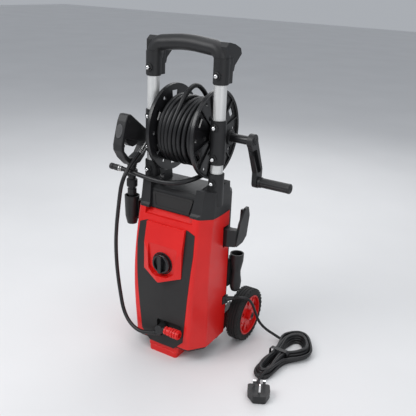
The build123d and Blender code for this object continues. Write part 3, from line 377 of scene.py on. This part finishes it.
WHEEL_Y = 110.0
WHEEL_Z = 69.0
WHEEL_IN = 110.0
WHEEL_OUT = 144.0
LUGS = 34
TUBE_X = 87.5
BUTTON_HEIGHTS = (447.3, 503.5, 573.0, 683.0)
CRANK_BACK = 34.6
CRANK_DROP = 102.0
for side_name, side in (("left", -1), ("right", 1)):
    hub = facing(at(0, WHEEL_Y, WHEEL_Z), (side, 0, 0))
    wheel = "wheel_" + side_name

    def shoulder_lugs(bm):
        for x, shift in ((WHEEL_IN + 4, 0.0), (WHEEL_OUT - 4, 0.5)):
            for lug in range(LUGS):
                turn = Matrix.Rotation(2 * pi * (lug + shift) / LUGS, 4, "Z")
                block(bm, hub @ turn @ Matrix.Translation((66.0 * MM, 0, x * MM)), (5.2, 6.0, 6.0))

    def sidewall(bm):
        for start, end in ((WHEEL_OUT - 0.5, WHEEL_OUT + 0.8), (WHEEL_IN - 0.6, WHEEL_IN + 0.5)):
            ring_set(bm, hub, ((53.4, 54.8, start, end), (58.2, 59.4, start, end)), 96)

    def rim_rings(bm):
        end = WHEEL_OUT - 7.3
        ring_set(bm, hub, ((16.0, 18.0, end - 0.6, end + 1.2), (45.5, 47.0, end - 0.6, end + 1.0)), 72)
        ring_set(bm, hub, ((48.8, 51.2, WHEEL_OUT - 1.6, WHEEL_OUT + 0.3),), 96)
        for spoke in range(5):
            turn = Matrix.Rotation(2 * pi * (spoke + 0.25) / 5, 4, "Z")
            screw_head(bm, hub @ turn @ Matrix.Translation((23.0 * MM, 0, end * MM)), 1.8, 1.0)

    def hub_cap(bm):
        ring_set(bm, hub, ((6.0, 8.2, 149.6, 150.9),), 40)
        screw_head(bm, hub @ Matrix.Translation((0, 0, 149.4 * MM)), 4.6, 1.8)

    mesh_piece("tread_lugs_" + side_name, shoulder_lugs, wheel, RUBBER, 0.0006)
    mesh_piece("sidewall_rings_" + side_name, sidewall, wheel, RUBBER)
    mesh_piece("rim_rings_" + side_name, rim_rings, wheel, RED)
    mesh_piece("hub_cap_" + side_name, hub_cap, wheel, BLACK)

    reel_side = facing(at(0, REEL_Y, REEL_Z), (side, 0, 0))

    def flange_rings(bm):
        ring_set(bm, reel_side, (
            (98.8, 102.2, 59.6, 61.8), (93.4, 94.6, 56.6, 57.6), (28.0, 30.0, 58.0, 61.2),
        ), 128)
        ring_set(bm, reel_side, ((20.0, 24.0, 65.5, 66.7),), 60)
        for bolt in range(6):
            turn = Matrix.Rotation(2 * pi * bolt / 6, 4, "Z")
            place = reel_side @ turn @ Matrix.Translation((46.0 * MM, 0, 56.9 * MM))
            ring_set(bm, place, ((0.05, 5.6, 0, 1.4),), 24)
            screw_head(bm, place @ Matrix.Translation((0, 0, 1.2 * MM)), 3.4, 1.8)

    mesh_piece("flange_rings_" + side_name, flange_rings, "reel", GLOSSY)

    sleeve = facing(at(side * TUBE_X, 0, 0), (0, 0, 1))

    def collars(bm):
        ring_set(bm, sleeve, (
            (14.3, 16.2, 465.5, 468.4), (14.3, 16.6, 489.0, 491.4), (14.3, 16.6, 585.6, 588.0),
            (14.3, 16.4, 663.8, 666.4),
        ), 56)

    mesh_piece("sleeve_collars_" + side_name, collars, "root", BLACK)

    def button_rims(bm):
        for height in BUTTON_HEIGHTS:
            front = facing(at(side * TUBE_X, 0, height), (0, -1, 0))
            reach = 19.6 if height == BUTTON_HEIGHTS[0] else 19.3
            ring_set(bm, front, ((6.4, 8.4, reach, reach + 1.1),), 36)

    mesh_piece("button_rims_" + side_name, button_rims, "root", BLACK)


# The crank's end screws.
def crank_screw(bm):
    place = facing(at(157.4, REEL_Y, REEL_Z), (1, 0, 0))
    ring_set(bm, place, ((7.2, 9.4, 0, 1.6),), 40)
    screw_head(bm, place, 5.4, 2.4)


def grip_cap(bm):
    place = facing(at(237.6, REEL_Y + CRANK_BACK, REEL_Z - CRANK_DROP), (1, 0, 0))
    ring_set(bm, place, ((4.4, 6.2, 0, 1.0),), 32)
    screw_head(bm, place, 2.8, 1.2)


mesh_piece("crank_hub_screw", crank_screw, "reel", BLACK)
mesh_piece("crank_grip_cap", grip_cap, "crank_handle", BLACK)


# The gun's collar and side screws.
GUN_X = -130.5
GUN_SCREWS = ((-71, 508), (-50, 562), (19, 512), (-2, 539), (-38, 462))


def gun_screws(bm):
    for side in (-1, 1):
        for y, z in GUN_SCREWS:
            place = facing(at(GUN_X + side * 12.8, y, z), (side, 0, 0))
            ring_set(bm, place, ((2.7, 3.8, 0, 0.8),), 24)
            screw_head(bm, place, 2.5, 0.6)


def gun_collar(bm):
    neck = facing(at(GUN_X, -25.0, 0), (0, 0, 1))
    ring_set(bm, neck, ((8.0, 12.4, 451.6, 455.4), (8.0, 11.2, 446.4, 449.0)), 48)
    for rib in range(18):
        turn = Matrix.Rotation(2 * pi * rib / 18, 4, "Z")
        block(bm, neck @ turn @ Matrix.Translation((12.9 * MM, 0, 432.5 * MM)), (1.4, 2.0, 13.0))
        block(bm, neck @ turn @ Matrix.Translation((12.4 * MM, 0, 407.0 * MM)), (1.4, 2.0, 16.0))


mesh_piece("gun_screws", gun_screws, "gun", BLACK)
mesh_piece("gun_collar", gun_collar, "gun", BLACK, 0.0004)


def lock_ribs(bm):
    slope = facing(at(GUN_X, -70.8, 541), (0, -0.956, 0.292))
    for step in (-8, -4, 0, 4, 8):
        block(bm, slope @ Matrix.Translation((0, step * MM, 1.6 * MM)), (11.0, 1.5, 1.2))


mesh_piece("lock_ribs", lock_ribs, "lock_button", GREY, 0.0003)


# The switch ring and its two stop marks.
def switch_ring(bm):
    face = facing(at(0, -78.6, 250.5), (0, -1, 0))
    ring_set(bm, face, ((24.6, 27.2, 0, 2.0),), 64)
    for angle in (0, pi / 2):
        turn = Matrix.Rotation(angle, 4, "Z")
        block(bm, face @ turn @ Matrix.Translation((0, 26.0 * MM, 2.0 * MM)), (2.0, 3.0, 1.2))


mesh_piece("switch_ring", switch_ring, "root", BLACK)


# Strain relief, crimps, the hank's tie and the plug's ribs.
def along(start, end):
    """A frame at a start point, in millimetres, whose Z runs to an end point."""
    return facing(at(*start), Vector(end) - Vector(start))


def gland_ribs(bm):
    ring_set(bm, along((122, 54, 137), (138, 66, 139)), [
        (3.0, 4.9 - 0.25 * rib, 0.6 + 3.0 * rib, 2.4 + 3.0 * rib) for rib in range(5)
    ], 28)


def hose_crimps(bm):
    ring_set(bm, along(LEAD_ROUTE[0], LEAD_ROUTE[1]), (
        (3.5, 5.8, 0.2, 3.4), (3.5, 5.5, 5.0, 8.2), (3.5, 5.8, 9.8, 13.0),
    ), 32)
    ring_set(bm, along(TAIL_ROUTE[-1], TAIL_ROUTE[-2]), ((4.5, 7.0, 0.2, 4.0), (4.5, 6.6, 6.0, 9.0)), 32)


def hank_tie(bm):
    outline = ((227, 1.0), (230, 0.3), (268, 0.3), (273, 3), (273, 24), (268, 28.5), (231, 28.5), (226.5, 24))
    rings = []
    for grow, y in ((0.0, 63.0), (1.5, 63.5), (1.5, 74.5), (0.0, 75.0)):
        middle = Vector((250, 14))
        ring = []
        for x, z in outline:
            out = (Vector((x, z)) - middle)
            spot = Vector((x, z)) + out.normalized() * grow
            ring.append(bm.verts.new(at(spot.x, y, max(0.2, spot.y))))
        rings.append(ring)
    count = len(outline)
    for ring, after in zip(rings, rings[1:] + rings[:1]):
        for i in range(count):
            j = (i + 1) % count
            bm.faces.new((ring[i], ring[j], after[j], after[i]))


def plug_ribs(bm):
    ring_set(bm, along((254, -52, 8), (264, -69.9, 8)), [
        (3.0, 5.0 + 0.5 * rib, -1.5 + 4.0 * rib, 0.9 + 4.0 * rib) for rib in range(5)
    ], 28)


mesh_piece("gland_ribs", gland_ribs, "root", CORD)
mesh_piece("hose_crimps", hose_crimps, "root", STEEL)
mesh_piece("hank_tie", hank_tie, "root", BLACK, 0.0006)
mesh_piece("plug_ribs", plug_ribs, "root", BLACK)


# ---- floor and light ----
def floor():
    mesh = bpy.data.meshes.new("floor")
    bm = bmesh.new()
    bmesh.ops.create_grid(bm, x_segments=2, y_segments=2, size=12.0)
    bm.to_mesh(mesh)
    bm.free()
    plane = bpy.data.objects.new("floor", mesh)
    bpy.context.collection.objects.link(plane)
    plane.location.z = -0.0002
    plane.data.materials.append(
        material("pale_floor", (0.74, 0.74, 0.745), (0.77, 0.77, 0.775), 0.62, grain=60, depth=0.0004,
                 patch=2.2)
    )


def softbox(name, place, size, power, target=(0, 0, 380)):
    data = bpy.data.lights.new(name, "AREA")
    data.shape = "RECTANGLE"
    data.size, data.size_y = size
    data.energy = power
    lamp = bpy.data.objects.new(name, data)
    bpy.context.collection.objects.link(lamp)
    lamp.matrix_world = Matrix.Translation(at(*place)) @ (
        (at(*target) - at(*place)).to_track_quat("-Z", "Y").to_matrix().to_4x4()
    )


floor()
softbox("key", (-900, -1500, 1900), (1.3, 1.3), 30)
softbox("fill", (1700, -900, 1200), (1.4, 1.4), 9)
softbox("top", (100, 300, 2400), (2.0, 2.0), 17)
softbox("back", (-400, 1700, 1500), (1.6, 1.0), 10)
world = bpy.data.worlds.new("studio")
world.use_nodes = True
world.node_tree.nodes["Background"].inputs["Color"].default_value = (0.80, 0.84, 0.90, 1)
world.node_tree.nodes["Background"].inputs["Strength"].default_value = 0.5
bpy.context.scene.world = world
bpy.context.scene.view_settings.view_transform = "Standard"
